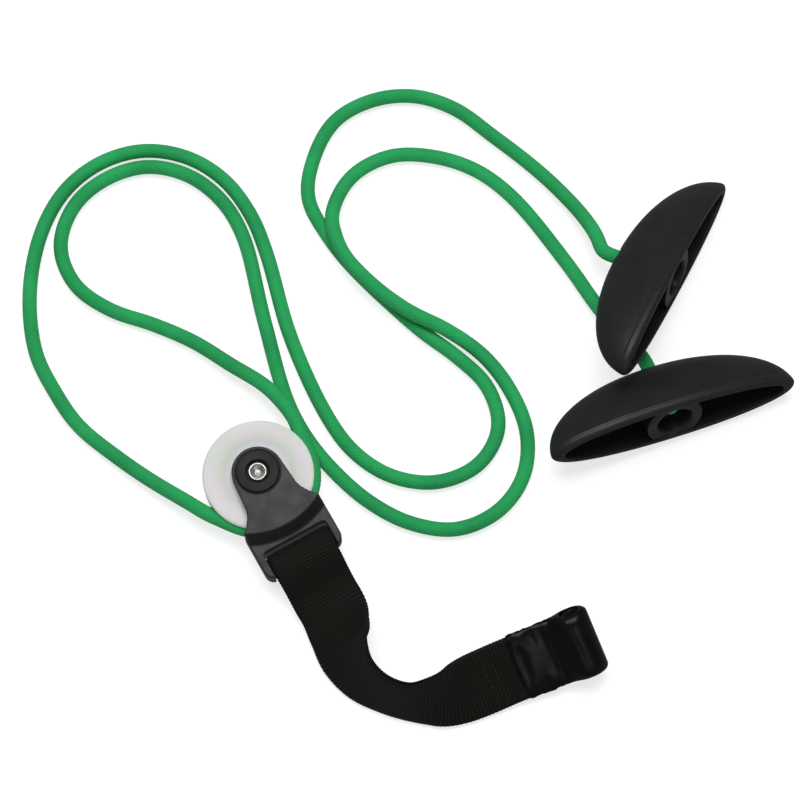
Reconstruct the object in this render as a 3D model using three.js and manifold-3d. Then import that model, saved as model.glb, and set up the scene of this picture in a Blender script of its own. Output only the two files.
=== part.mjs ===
// Over-door shoulder pulley laid out flat: a grooved nylon wheel in a moulded fork, a webbing
// strap that ends in a sleeved anchor tube, one rope over the wheel, and a hollow handle at
// each end of the rope. Millimetres, +Z up, the lowest surface at z = 0.
import * as THREE from "three";
import { mergeVertices } from "three/addons/utils/BufferGeometryUtils.js";
import Module from "manifold-3d";

const wasm = await Module();
wasm.setup();

// ---------------------------------------------------------------- driving dimensions
const ROPE_DIAMETER = 7;
const ROPE_RADIUS = ROPE_DIAMETER / 2;
const GAP = 0.3; // between pieces that touch

// wheel and axle
const WHEEL_RADIUS = 26.4;
const WHEEL_WIDTH = 12.6;
const ROPE_PITCH_RADIUS = 26.2; // rope centre line in the groove
const GROOVE_RADIUS = ROPE_RADIUS + GAP + 0.1;
const WHEEL_BORE_RADIUS = 4.3;
const BUSHING_OUTER_RADIUS = 4;
const BUSHING_INNER_RADIUS = 3.3;
const SHANK_RADIUS = 3;
const SHANK_BORE_RADIUS = 2;
const RIVET_HEAD_RADIUS = 4.45;

// fork
const CHEEK_GAP = WHEEL_WIDTH / 2 + 0.4; // from the middle plane to a cheek's inner face
const CHEEK_THICKNESS = 3.8;
const BOSS_RISE = 1.2;
const BOSS_RADIUS = 10;
const COUNTERBORE_RADIUS = 5.6;
const COUNTERBORE_DEPTH = 2;
const CHEEK_HEAD_RADIUS = 12.4;
const CHEEK_OUTER = CHEEK_GAP + CHEEK_THICKNESS;
const HALF_HEIGHT = CHEEK_OUTER + BOSS_RISE;
const ROPE_CLEARANCE_RADIUS = ROPE_PITCH_RADIUS + ROPE_RADIUS + 0.7;
const SHOULDER = { x: 23.4, y: 19.8 }; // where a cheek's side meets its lower arc
const WAIST = { x: 13, y: 13.4, bendX: 18, bendY: 14.6 }; // a cheek's side between head and shoulder
const CHEEK_END = 28.8; // lowest point of that arc
const STEP = { run: 4.2, span: 16 }; // the sloped step below the arc, and how far it is built
const BAIL = { halfWidth: 20.2, end: 47.6, halfThickness: 5.5, corner: 4.5 };
const SLOT = { start: 34.7, halfWidth: 16.5, corner: 2 };
const BAR = { x: 41.9, radius: 4.6 };

// strap and anchor
const WEB_WIDTH = 32;
const WEB_THICKNESS = 1.4;
const PLY_OFFSET = WEB_THICKNESS / 2 + GAP / 2; // from the strap's middle surface to a ply's
const CLOSING = { bar: 20, tube: 17 }; // distance in which the two plies come together
const SEAM_STATION = 6; // stations back from the tube, where the web's two ends meet
const TUBE = { outer: 5.8, inner: 4, length: 32 };
const SLEEVE = { wall: 0.5, length: 41, window: 5 };
const STITCH = { radius: 0.35, margin: 3, stations: [10, 11] }; // stations back from the tube

// handles
const HANDLE = {
  halfLength: 62.5,
  halfWidth: 15,
  depth: 32.4,
  wall: 2.8,
  tipWall: 4,
  bluntness: 2.1, // exponent of the outline; 2 would be an ellipse
  bossRadius: 14.5,
  bossRecess: 1,
  knotBoreRadius: 8.6,
  knotBoreDepth: 24,
  ropeHoleRadius: 4.3,
};
const KNOT = { radius: 7.2, from: 8.8, to: 23.3 };
const TAIL = { from: 4, to: 8.2, aside: 3.6 };
const NECK_END = HANDLE.depth + 3.1; // where the rope leaves the crown's axis

// layout on the surface, and the middle of its outline
const LAYOUT_CENTRE = { x: -0.7, y: 2.855 };
const PULLEY_AT = { x: -115.6, y: -13.6, heading: -60.4 };
const ANCHOR_AT = { x: 35.7, y: -93.1, z: 16.4, heading: 21, pitch: 8.4, roll: 30 };
const HANDLES = [
  { name: "upper", x: 84.6, y: 81.4, z: 23.5, heading: 62.5, pitch: 16, roll: -101 },
  { name: "lower", x: 81.7, y: 11.3, z: 18.4, heading: 18.8, pitch: 5.5, roll: -107.2 },
];

// Strap from the bail to the anchor: x, y, height of its lower edge, roll about its run.
const STRAP_ROUTE = [
  [-84.1, -69.2, 4.4, 2],
  [-79.5, -77.3, 1.6, 10],
  [-76.5, -87.6, 0.4, 30],
  [-74, -98.9, 0.4, 47],
  [-67.6, -109.4, 0.4, 60],
  [-57.4, -117, 0.4, 70],
  [-45.5, -121, 0.4, 71],
  [-34, -120.3, 0.4, 59],
  [-22.3, -116.4, 0.4, 37],
  [-11.6, -111.7, 0.5, 29],
];

// Rope centre line, x, y and z: the run from the upper handle to the wheel, then the run
// from the wheel to the lower handle.
const UPPER_RUN = [
  [47.1, 105.9, 13.4], [40.4, 118.8, 9.4], [27, 136, 5.4], [14, 149, 3.8], [-3, 163, 3.6],
  [-21, 177, 3.6], [-41, 184, 3.6], [-62, 182, 3.6], [-81, 171, 3.6], [-91.5, 151, 3.6],
  [-94, 130, 3.6], [-84, 110, 3.6], [-71, 93, 3.6], [-39, 62, 3.6], [-21.5, 48.5, 3.6],
  [-6.8, 33.4, 3.6], [-1.6, 13, 3.6], [-11, -5, 3.6], [-31, -14, 3.6], [-53, -11, 3.6],
  [-71, 1, 3.6], [-84, 19, 3.6], [-102, 59, 3.6], [-114, 101, 3.6], [-122, 121, 3.6],
  [-135, 139, 3.6], [-153, 151, 3.6], [-175, 155, 3.6], [-196, 149, 3.6], [-213, 135, 3.6],
  [-224, 114, 3.6], [-229, 83, 3.6], [-225, 51, 3.6], [-215, 31, 3.6], [-203, 14, 3.6],
  [-185, -1, 4.2], [-167, -14, 6.6], [-148, -26, 10],
];
const LOWER_RUN = [
  [-98.5, 14, 11.8], [-111.5, 30, 11.4], [-130, 43, 7.8], [-149, 56, 4.2], [-169, 65, 3.6],
  [-189, 72, 3.6], [-207, 85, 3.6], [-215, 105, 3.6], [-209, 126, 3.6], [-194, 140, 3.6],
  [-174, 146.5, 3.6], [-153.5, 142, 3.6], [-136.8, 129, 3.6], [-125.8, 110.4, 3.6],
  [-115, 68, 3.6], [-103, 26, 3.6], [-93, 7, 3.6], [-79, -10, 3.6], [-63, -24, 3.6],
  [-44, -34, 3.6], [-22, -37, 3.6], [-2, -28, 3.6], [10, -11, 3.6], [12, 10, 3.6],
  [4.8, 30.5, 3.6], [-8.2, 48.2, 4.8], [-26, 60.3, 8.6], [-45, 69.5, 10.9], [-62, 82.5, 11.1],
  [-76, 98, 11.1], [-81, 110.5, 10.4], [-82, 121, 7.8], [-73, 141, 3.6], [-54, 152, 3.6],
  [-33, 152, 3.6], [-12, 145, 3.6], [6, 131, 3.6], [32, 97, 3.8], [48, 72, 5.2], [60, 56, 7.4],
];

const ROUND = 32; // sides of a round piece
const WIDE_ROUND = 64; // sides of a wide one

// ---------------------------------------------------------------- materials
const finish = (color, roughness, metalness = 0) =>
  new THREE.MeshStandardMaterial({ color, roughness, metalness });
const nylonWhite = finish(0xd4d0cc, 0.35);
const nylonBlack = finish(0x3a3a3c, 0.5);
const handleBlack = finish(0x262627, 0.45);
const webbingBlack = finish(0x171813, 0.9);
const vinylBlack = finish(0x1a1a1a, 0.3);
const threadBlack = finish(0x20201e, 0.8);
const ropeGreen = finish(0x2a9858, 0.8);
const steel = finish(0xc8c8c8, 0.25, 1);
const brass = finish(0xb49a5a, 0.35, 1);

// ---------------------------------------------------------------- solid helpers
const rad = THREE.MathUtils.degToRad;

function solid(geometry) {
  const bare = geometry.clone();
  bare.deleteAttribute("normal");
  bare.deleteAttribute("uv");
  const merged = mergeVertices(bare, 1e-4);
  return new wasm.Manifold(
    new wasm.Mesh({
      numProp: 3,
      vertProperties: new Float32Array(merged.attributes.position.array),
      triVerts: new Uint32Array(merged.index.array),
    }),
  );
}

function geometryOf(manifold) {
  const mesh = manifold.getMesh();
  const geometry = new THREE.BufferGeometry();
  geometry.setAttribute("position", new THREE.BufferAttribute(mesh.vertProperties, 3));
  geometry.setIndex(new THREE.BufferAttribute(mesh.triVerts, 1));
  geometry.computeVertexNormals();
  return geometry;
}

function piece(group, name, geometry, material) {
  const mesh = new THREE.Mesh(geometry, material);
  mesh.name = name;
  group.add(mesh);
  return mesh;
}

// A solid of revolution about Z from a closed outline of [radius, z] points.
function turned(outline, sides = ROUND) {
  const points = [...outline, outline[0]].map(([r, z]) => new THREE.Vector2(r, z));
  return new THREE.LatheGeometry(points, sides).rotateX(Math.PI / 2);
}

// A round bar about Z between two heights.
function bar(radius, from, to, sides = ROUND) {
  const length = to - from;
  return new THREE.CylinderGeometry(radius, radius, length, sides)
    .rotateX(Math.PI / 2)
    .translate(0, 0, (from + to) / 2);
}

// A ring about Z.
const ring = (inner, outer, from, to, sides = ROUND) =>
  turned([[inner, from], [outer, from], [outer, to], [inner, to]], sides);

function plate(shape, from, to, curveSegments = 10) {
  return new THREE.ExtrudeGeometry(shape, {
    depth: to - from,
    bevelEnabled: false,
    curveSegments,
  }).translate(0, 0, from);
}

// A closed solid lofted through rings that all have the same number of points.
function loft(rings) {
  const count = rings[0].length;
  const positions = rings.flat().flatMap((p) => [p.x, p.y, p.z]);
  const index = [];
  for (let i = 0; i + 1 < rings.length; i++) {
    for (let j = 0; j < count; j++) {
      const a = i * count + j;
      const b = i * count + ((j + 1) % count);
      index.push(a, b, a + count, b, b + count, a + count);
    }
  }
  const last = (rings.length - 1) * count;
  for (let j = 1; j + 1 < count; j++) {
    index.push(0, j + 1, j, last, last + j, last + j + 1);
  }
  const geometry = new THREE.BufferGeometry();
  geometry.setAttribute("position", new THREE.Float32BufferAttribute(positions, 3));
  geometry.setIndex(index);
  return geometry;
}

// ---------------------------------------------------------------- wheel and axle
function wheelGeometry() {
  const half = WHEEL_WIDTH / 2;
  const lip = Math.acos((ROPE_PITCH_RADIUS - WHEEL_RADIUS) / GROOVE_RADIUS);
  const groove = [];
  const steps = 10;
  for (let i = 0; i <= steps; i++) {
    const angle = lip * ((2 * i) / steps - 1);
    groove.push([
      ROPE_PITCH_RADIUS - GROOVE_RADIUS * Math.cos(angle),
      GROOVE_RADIUS * Math.sin(angle),
    ]);
  }
  const hubRadius = 8.6;
  const webRadius = 18.6;
  const rimRadius = 20.4;
  const rimHalf = half - 0.5;
  const webHalf = half - 1.6;
  const lower = [
    [WHEEL_BORE_RADIUS, -half], [hubRadius, -half], [hubRadius + 1.4, -webHalf],
    [webRadius, -webHalf], [rimRadius, -rimHalf], [WHEEL_RADIUS - 0.5, -rimHalf],
    [WHEEL_RADIUS, -rimHalf + 0.5],
  ];
  const upper = lower.map(([r, z]) => [r, -z]).reverse();
  return turned([...lower, ...groove, ...upper], WIDE_ROUND);
}

function rivetGeometry() {
  const seat = HALF_HEIGHT - COUNTERBORE_DEPTH + GAP;
  const top = seat + 1.1;
  const bottom = -seat - 0.9;
  return turned([
    [SHANK_BORE_RADIUS, bottom],
    [RIVET_HEAD_RADIUS - 0.8, bottom],
    [RIVET_HEAD_RADIUS - 0.3, bottom + 0.5],
    [RIVET_HEAD_RADIUS - 0.3, -seat - GAP],
    [SHANK_RADIUS, -seat - GAP],
    [SHANK_RADIUS, seat],
    [RIVET_HEAD_RADIUS, seat],
    [RIVET_HEAD_RADIUS, top - 0.5],
    [RIVET_HEAD_RADIUS - 0.5, top],
    [RIVET_HEAD_RADIUS - 1.2, top],
    [SHANK_BORE_RADIUS + 0.2, top - 1.2],
    [SHANK_BORE_RADIUS, top - 2.2],
  ]);
}

// ---------------------------------------------------------------- fork
function cheekShape() {
  const shape = new THREE.Shape();
  shape.moveTo(SHOULDER.x, SHOULDER.y);
  shape.quadraticCurveTo(WAIST.bendX, WAIST.bendY, WAIST.x, WAIST.y);
  shape.lineTo(0, CHEEK_HEAD_RADIUS);
  shape.absarc(0, 0, CHEEK_HEAD_RADIUS, Math.PI / 2, (3 * Math.PI) / 2, false);
  shape.lineTo(WAIST.x, -WAIST.y);
  shape.quadraticCurveTo(WAIST.bendX, -WAIST.bendY, SHOULDER.x, -SHOULDER.y);
  const { centre, radius } = lowerArc();
  const angle = Math.atan2(SHOULDER.y, SHOULDER.x - centre);
  shape.absarc(centre, 0, radius, -angle, angle, false);
  return shape;
}

// The circle through both shoulders and the cheek's lowest point.
function lowerArc() {
  const rise = CHEEK_END - SHOULDER.x;
  const radius = (rise * rise + SHOULDER.y * SHOULDER.y) / (2 * rise);
  return { centre: CHEEK_END - radius, radius };
}

function bailShape() {
  const { halfWidth, end, corner } = BAIL;
  const shape = new THREE.Shape();
  shape.moveTo(SHOULDER.x, -halfWidth);
  shape.lineTo(end - corner, -halfWidth);
  shape.absarc(end - corner, -halfWidth + corner, corner, -Math.PI / 2, 0, false);
  shape.lineTo(end, halfWidth - corner);
  shape.absarc(end - corner, halfWidth - corner, corner, 0, Math.PI / 2, false);
  shape.lineTo(SHOULDER.x, halfWidth);
  return shape;
}

// The gap that the webbing passes through, open past the end of the bail.
function slotShape() {
  const { start, halfWidth, corner } = SLOT;
  const past = BAIL.end + 2;
  const shape = new THREE.Shape();
  shape.moveTo(past, -halfWidth);
  shape.lineTo(past, halfWidth);
  shape.lineTo(start + corner, halfWidth);
  shape.absarc(start + corner, halfWidth - corner, corner, Math.PI / 2, Math.PI, false);
  shape.absarc(start + corner, -halfWidth + corner, corner, Math.PI, 1.5 * Math.PI, false);
  return shape;
}

function forkGeometry() {
  const { centre, radius } = lowerArc();
  const step = turned([
    [1, -CHEEK_OUTER], [radius, -CHEEK_OUTER],
    [radius + STEP.run, -BAIL.halfThickness], [radius + STEP.run, BAIL.halfThickness],
    [radius, CHEEK_OUTER], [1, CHEEK_OUTER],
  ], WIDE_ROUND).translate(centre, 0, 0);
  const stepLimits = new THREE.BoxGeometry(STEP.span, 2 * SHOULDER.y, 2 * HALF_HEIGHT);
  stepLimits.translate(SHOULDER.x + STEP.span / 2, 0, 0);
  const cheeks = solid(plate(cheekShape(), -CHEEK_OUTER, CHEEK_OUTER));
  const bail = solid(plate(bailShape(), -BAIL.halfThickness, BAIL.halfThickness));
  const bosses = solid(bar(BOSS_RADIUS, -HALF_HEIGHT, HALF_HEIGHT));
  const pocket = solid(bar(ROPE_CLEARANCE_RADIUS, -CHEEK_GAP, CHEEK_GAP, WIDE_ROUND));
  const slot = solid(plate(slotShape(), -HALF_HEIGHT, HALF_HEIGHT, 4));
  const barGeometry = bar(BAR.radius, -SLOT.halfWidth - 1, SLOT.halfWidth + 1, 20);
  const crossBar = solid(barGeometry.rotateX(Math.PI / 2).translate(BAR.x, 0, 0));
  const boreRadius = SHANK_RADIUS + GAP;
  const bore = solid(bar(boreRadius, -HALF_HEIGHT - 1, HALF_HEIGHT + 1));
  const floor = HALF_HEIGHT - COUNTERBORE_DEPTH;
  const frontSeat = solid(bar(COUNTERBORE_RADIUS, floor, HALF_HEIGHT + 1));
  const backSeat = solid(bar(COUNTERBORE_RADIUS, -HALF_HEIGHT - 1, -floor));
  return geometryOf(
    cheeks
      .add(solid(step).intersect(solid(stepLimits)))
      .add(bail)
      .add(bosses)
      .subtract(pocket)
      .subtract(slot)
      .add(crossBar)
      .subtract(bore)
      .subtract(frontSeat)
      .subtract(backSeat),
  );
}

// ---------------------------------------------------------------- strap
// Frames along the strap: a point, the run's direction, and the web's width and face normal.
function strapFrame(point, run, roll) {
  const side = new THREE.Vector3(0, 0, 1).cross(run).normalize();
  const up = new THREE.Vector3().crossVectors(run, side);
  const width = side.clone().multiplyScalar(Math.cos(roll));
  width.addScaledVector(up, Math.sin(roll));
  const normal = new THREE.Vector3().crossVectors(run, width).normalize();
  return { point, run, width, normal };
}

function pulleyPoint(x, y, z) {
  const turn = rad(PULLEY_AT.heading);
  return new THREE.Vector3(x, y, z + HALF_HEIGHT)
    .applyAxisAngle(new THREE.Vector3(0, 0, 1), turn)
    .add(new THREE.Vector3(PULLEY_AT.x, PULLEY_AT.y, 0));
}

function anchorRun() {
  const { heading, pitch } = ANCHOR_AT;
  const level = Math.cos(rad(pitch));
  return new THREE.Vector3(
    level * Math.cos(rad(heading)),
    level * Math.sin(rad(heading)),
    Math.sin(rad(pitch)),
  );
}

function strapFrames() {
  const barCentre = pulleyPoint(BAR.x, 0, 0);
  const barRun = new THREE.Vector3(
    Math.cos(rad(PULLEY_AT.heading)),
    Math.sin(rad(PULLEY_AT.heading)),
    0,
  );
  const run = anchorRun();
  const tubeCentre = new THREE.Vector3(ANCHOR_AT.x, ANCHOR_AT.y, ANCHOR_AT.z);
  const lead = [38, 24, 12].map((back) => tubeCentre.clone().addScaledVector(run, -back));
  const halfStack = PLY_OFFSET + WEB_THICKNESS / 2;
  const route = STRAP_ROUTE.map(([x, y, lift, roll]) => {
    const rise = (WEB_WIDTH / 2) * Math.sin(rad(roll)) + halfStack * Math.cos(rad(roll));
    return new THREE.Vector3(x, y, lift + rise);
  });
  const start = [0, 5, 11].map((ahead) => barCentre.clone().addScaledVector(barRun, ahead));
  start[2].z -= 1.2;
  const points = [...start, ...route, ...lead, tubeCentre];
  const rolls = [0, 0, 0, ...STRAP_ROUTE.map((row) => row[3])];
  rolls.push(...new Array(lead.length + 1).fill(ANCHOR_AT.roll));
  const curve = new THREE.CatmullRomCurve3(points, false, "centripetal");
  const perSpan = 3;
  const count = (points.length - 1) * perSpan;
  const frames = [];
  for (let i = 0; i <= count; i++) {
    const t = i / count;
    const at = t * (points.length - 1);
    const low = Math.min(Math.floor(at), points.length - 2);
    const blend = at - low;
    const ease = blend * blend * (3 - 2 * blend);
    const roll = rad(THREE.MathUtils.lerp(rolls[low], rolls[low + 1], ease));
    const atEnd = i === 0 ? barRun : i === count ? run : curve.getTangent(t);
    frames.push(strapFrame(curve.getPoint(t), atEnd.clone(), roll));
  }
  return frames;
}

// How far a ply lies from the strap's middle surface: wide at a bar or tube, then closed up.
function plySpread(distance, startRadius, closing) {
  const share = Math.min(distance / closing, 1);
  const ease = 1 - share * share * (3 - 2 * share);
  return PLY_OFFSET + (startRadius - PLY_OFFSET) * ease;
}

const BAR_WRAP_RADIUS = BAR.radius + GAP + WEB_THICKNESS / 2;
const TUBE_WRAP_RADIUS = TUBE.outer + GAP + WEB_THICKNESS / 2;

// One ply as a list of {point, width, normal}, on the side given by sign.
function plyStations(frames, sign) {
  let fromBar = 0;
  const distances = frames.map((frame, i) => {
    if (i > 0) fromBar += frame.point.distanceTo(frames[i - 1].point);
    return fromBar;
  });
  const total = fromBar;
  return frames.map(({ point, width, normal }, i) => {
    const spread =
      plySpread(distances[i], BAR_WRAP_RADIUS, CLOSING.bar) +
      plySpread(total - distances[i], TUBE_WRAP_RADIUS, CLOSING.tube) -
      PLY_OFFSET;
    return { point: point.clone().addScaledVector(normal, sign * spread), width, normal };
  });
}

// Half a turn of web about a frame's point, from the normal's side to the other.
function wrapStations({ point, run, width, normal }, radius, away, steps = 9) {
  const stations = [];
  for (let i = 1; i < steps; i++) {
    const angle = (Math.PI * i) / steps;
    const outward = normal.clone().multiplyScalar(Math.cos(angle));
    outward.addScaledVector(run, away * Math.sin(angle));
    const place = point.clone().addScaledVector(outward, radius);
    stations.push({ point: place, width, normal: outward });
  }
  return stations;
}

function ribbon(stations, width, thickness) {
  const rings = stations.map(({ point, width: across, normal }) => {
    const corner = (w, n) =>
      point
        .clone()
        .addScaledVector(across, (w * width) / 2)
        .addScaledVector(normal, (n * thickness) / 2);
    return [corner(-1, -1), corner(1, -1), corner(1, 1), corner(-1, 1)];
  });
  return loft(rings);
}

// The web runs along one face, round the tube, back along the other face and round the bar.
function webbingGeometry(frames) {
  const top = plyStations(frames, 1);
  const bottom = plyStations(frames, -1).map((s) => ({ ...s, normal: s.normal.clone().negate() }));
  bottom.reverse();
  const endFrame = frames[frames.length - 1];
  const aroundTube = wrapStations(endFrame, TUBE_WRAP_RADIUS, 1);
  const aroundBar = wrapStations(frames[0], BAR_WRAP_RADIUS, -1).reverse();
  const stations = [
    ...bottom.slice(SEAM_STATION),
    ...aroundBar,
    ...top,
    ...aroundTube,
    ...bottom.slice(0, SEAM_STATION + 1),
  ];
  const closing = stations.length - 1;
  const end = stations[closing];
  const before = stations[closing - 1].point;
  end.point = end.point.clone().lerp(before, GAP / end.point.distanceTo(before));
  return ribbon(stations, WEB_WIDTH, WEB_THICKNESS);
}

// A row of thread across the web, just proud of its top face.
function stitchGeometry() {
  const height = PLY_OFFSET + WEB_THICKNESS / 2 + GAP + STITCH.radius;
  const half = WEB_WIDTH / 2 - STITCH.margin;
  return bar(STITCH.radius, -half, half, 8)
    .rotateX(Math.PI / 2)
    .translate(0, 0, height);
}

function tubeGeometry() {
  const half = TUBE.length / 2;
  return ring(TUBE.inner, TUBE.outer, -half, half, 28).rotateX(Math.PI / 2);
}

// Teardrop outline round the tube and the two plies; its narrow end is the sleeve's mouth.
function teardrop(tubeRadius, mouthHalf, mouthAt) {
  const shape = new THREE.Shape();
  const shoulder = Math.PI / 2 + 0.2;
  const near = { x: -9, y: tubeRadius * 0.82 };
  const far = { x: -11, y: mouthHalf };
  shape.moveTo(mouthAt, -mouthHalf);
  shape.bezierCurveTo(far.x, -far.y, near.x, -near.y,
    tubeRadius * Math.cos(shoulder), -tubeRadius * Math.sin(shoulder));
  shape.absarc(0, 0, tubeRadius, -shoulder, shoulder, false);
  shape.bezierCurveTo(near.x, near.y, far.x, far.y, mouthAt, mouthHalf);
  return shape;
}

function sleeveGeometry() {
  const innerRadius = TUBE_WRAP_RADIUS + WEB_THICKNESS / 2 + GAP;
  const innerMouth = PLY_OFFSET + WEB_THICKNESS / 2 + GAP;
  const half = WEB_WIDTH / 2 + GAP;
  const { wall, length, window } = SLEEVE;
  const mouthAt = innerRadius + wall - length;
  const across = (shape, halfWidth) =>
    plate(shape, -halfWidth, halfWidth, 9).rotateX(Math.PI / 2);
  const outer = solid(across(teardrop(innerRadius + wall, innerMouth + wall, mouthAt), half + wall));
  const inner = solid(across(teardrop(innerRadius, innerMouth, mouthAt - 1), half));
  const windows = solid(bar(window, -half - 3, half + 3).rotateX(Math.PI / 2));
  return geometryOf(outer.subtract(inner).subtract(windows));
}

// ---------------------------------------------------------------- handles
// Half a blunt-ended ellipsoid with its flat side at z = 0, carried on below it to z = -skirt.
function halfShell(halfLength, halfWidth, depth, skirt) {
  const around = 40;
  const rows = 9;
  const tip = 0.04; // the top ring's size, in place of a point
  const { bluntness } = HANDLE;
  const blunt = (value) => Math.sign(value) * Math.abs(value) ** (2 / bluntness);
  const rings = [];
  const ringAt = (along, across, z) => {
    const points = [];
    for (let j = 0; j < around; j++) {
      const angle = (2 * Math.PI * j) / around;
      points.push(new THREE.Vector3(
        halfLength * along * blunt(Math.cos(angle)),
        halfWidth * across * blunt(Math.sin(angle)),
        z,
      ));
    }
    return points;
  };
  if (skirt > 0) rings.push(ringAt(1, 1, -skirt));
  for (let i = 0; i < rows; i++) {
    const angle = (Math.PI / 2) * (i / rows);
    const rise = Math.sin(angle);
    const along = (1 - rise ** bluntness) ** (1 / bluntness);
    rings.push(ringAt(along, Math.cos(angle), depth * rise));
  }
  rings.push(ringAt(tip, tip, depth));
  return loft(rings);
}

function handleGeometry() {
  const { halfLength, halfWidth, depth, wall, tipWall } = HANDLE;
  const outer = solid(halfShell(halfLength, halfWidth, depth, 0));
  const inner = solid(halfShell(halfLength - tipWall, halfWidth - wall, depth - wall, 1));
  const boss = solid(bar(HANDLE.bossRadius, HANDLE.bossRecess, depth)).intersect(outer);
  const knotBore = solid(bar(HANDLE.knotBoreRadius, -1, HANDLE.knotBoreDepth, 28));
  const ropeHole = solid(bar(HANDLE.ropeHoleRadius, -1, depth + 1, 20));
  return geometryOf(outer.subtract(inner).add(boss).subtract(knotBore).subtract(ropeHole));
}

function knotGeometry() {
  const { radius, from, to } = KNOT;
  const middle = (from + to) / 2;
  const outline = [[0, from]];
  const steps = 8;
  for (let i = 1; i < steps; i++) {
    const angle = Math.PI * (i / steps);
    const swell = Math.pow(Math.sin(angle), 0.7);
    outline.push([radius * swell, middle - ((to - from) / 2) * Math.cos(angle)]);
  }
  outline.push([0, to]);
  const points = outline.map(([r, z]) => new THREE.Vector2(r, z));
  return new THREE.LatheGeometry(points, 20).rotateX(Math.PI / 2);
}

// ---------------------------------------------------------------- rope
function ropeSection(radius, sides) {
  const shape = new THREE.Shape();
  shape.absarc(0, 0, radius, 0, 2 * Math.PI, false);
  return new THREE.Shape(shape.getPoints(sides).slice(0, sides));
}

function ropeTube(curve, steps, sides = 10) {
  return new THREE.ExtrudeGeometry(ropeSection(ROPE_RADIUS, sides), {
    extrudePath: curve,
    steps,
    curveSegments: 1,
    bevelEnabled: false,
  });
}

// A run whose cross-sections stand exactly at its points.
class RopeRun extends THREE.CatmullRomCurve3 {
  getPointAt(t, target) {
    return this.getPoint(t, target);
  }

  getTangentAt(t, target) {
    return this.getTangent(t, target);
  }
}

const ropeRun = (points) =>
  ropeTube(new RopeRun(points, false, "centripetal"), points.length - 1, 9);

const vectors = (rows) => rows.map(([x, y, z]) => new THREE.Vector3(x, y, z));

// Point on the rope's circle round the wheel, at an angle from the fork's own direction.
const onWheel = (angle) =>
  pulleyPoint(
    ROPE_PITCH_RADIUS * Math.cos(rad(angle)),
    ROPE_PITCH_RADIUS * Math.sin(rad(angle)),
    0,
  );

const WRAP = { from: -54.1, to: 84.9 };

class WheelWrap extends THREE.Curve {
  getPoint(t, target = new THREE.Vector3()) {
    return target.copy(onWheel(THREE.MathUtils.lerp(WRAP.from, WRAP.to, t)));
  }
}

// ---------------------------------------------------------------- assembly
const root = new THREE.Group();
root.position.set(-LAYOUT_CENTRE.x, -LAYOUT_CENTRE.y, 0);

const pulley = new THREE.Group();
pulley.position.set(PULLEY_AT.x, PULLEY_AT.y, HALF_HEIGHT);
pulley.rotation.z = rad(PULLEY_AT.heading);
root.add(pulley);
piece(pulley, "pulley_fork", forkGeometry(), nylonBlack);
piece(pulley, "sheave_wheel", wheelGeometry(), nylonWhite);
const bushingHalf = CHEEK_GAP - GAP;
const bushing = ring(BUSHING_INNER_RADIUS, BUSHING_OUTER_RADIUS, -bushingHalf, bushingHalf);
piece(pulley, "axle_bushing", bushing, brass);
piece(pulley, "axle_rivet", rivetGeometry(), steel);

const frames = strapFrames();
piece(root, "strap_webbing", webbingGeometry(frames), webbingBlack);

// A group that sits on a strap frame: X along the run, Y across the web, Z off its face.
function groupOn({ point, run, width, normal }) {
  const group = new THREE.Group();
  group.position.copy(point);
  group.quaternion.setFromRotationMatrix(new THREE.Matrix4().makeBasis(run, width, normal));
  root.add(group);
  return group;
}

const anchor = groupOn(frames[frames.length - 1]);
piece(anchor, "anchor_tube", tubeGeometry(), nylonBlack);
piece(anchor, "anchor_sleeve", sleeveGeometry(), vinylBlack);
STITCH.stations.forEach((station, i) => {
  const place = groupOn(frames[frames.length - 1 - station]);
  piece(place, "strap_stitch_row_" + (i + 1), stitchGeometry(), threadBlack);
});

const crownEnds = {};
for (const { name, x, y, z, heading, pitch, roll } of HANDLES) {
  const handle = new THREE.Group();
  handle.position.set(x, y, z);
  handle.rotation.set(rad(roll), rad(pitch), rad(heading), "ZYX");
  root.add(handle);
  piece(handle, name + "_handle", handleGeometry(), handleBlack);
  piece(handle, name + "_rope_knot", knotGeometry(), ropeGreen);
  const tail = bar(ROPE_RADIUS, TAIL.from, TAIL.to, 10).translate(0, -TAIL.aside, 0);
  piece(handle, name + "_rope_tail", tail, ropeGreen);
  const neck = bar(ROPE_RADIUS, KNOT.to + GAP, NECK_END, 10);
  piece(handle, name + "_rope_neck", neck, ropeGreen);
  handle.updateMatrix();
  const inHandle = (depth) => new THREE.Vector3(0, 0, depth).applyMatrix4(handle.matrix);
  crownEnds[name] = [NECK_END + GAP, NECK_END + 4].map(inHandle);
}

const wrapLength = ROPE_PITCH_RADIUS * rad(WRAP.to - WRAP.from);
const tangentPoint = (angle, ahead) =>
  onWheel(angle).add(
    onWheel(angle + 90)
      .sub(pulleyPoint(0, 0, 0))
      .setLength(ahead),
  );
const upperRun = [
  ...crownEnds.upper,
  ...vectors(UPPER_RUN),
  tangentPoint(WRAP.from, -15),
  tangentPoint(WRAP.from, -GAP),
];
const lowerRun = [
  tangentPoint(WRAP.to, GAP),
  tangentPoint(WRAP.to, 12),
  ...vectors(LOWER_RUN),
  ...[...crownEnds.lower].reverse(),
];
piece(root, "rope_upper_run", ropeRun(upperRun), ropeGreen);
piece(root, "rope_wheel_wrap", ropeTube(new WheelWrap(), Math.round(wrapLength / 5)), ropeGreen);
piece(root, "rope_lower_run", ropeRun(lowerRun), ropeGreen);

export default root;
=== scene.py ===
import math

import bmesh
import bpy
import numpy as np
from mathutils import Euler, Matrix, Vector, noise


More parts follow.
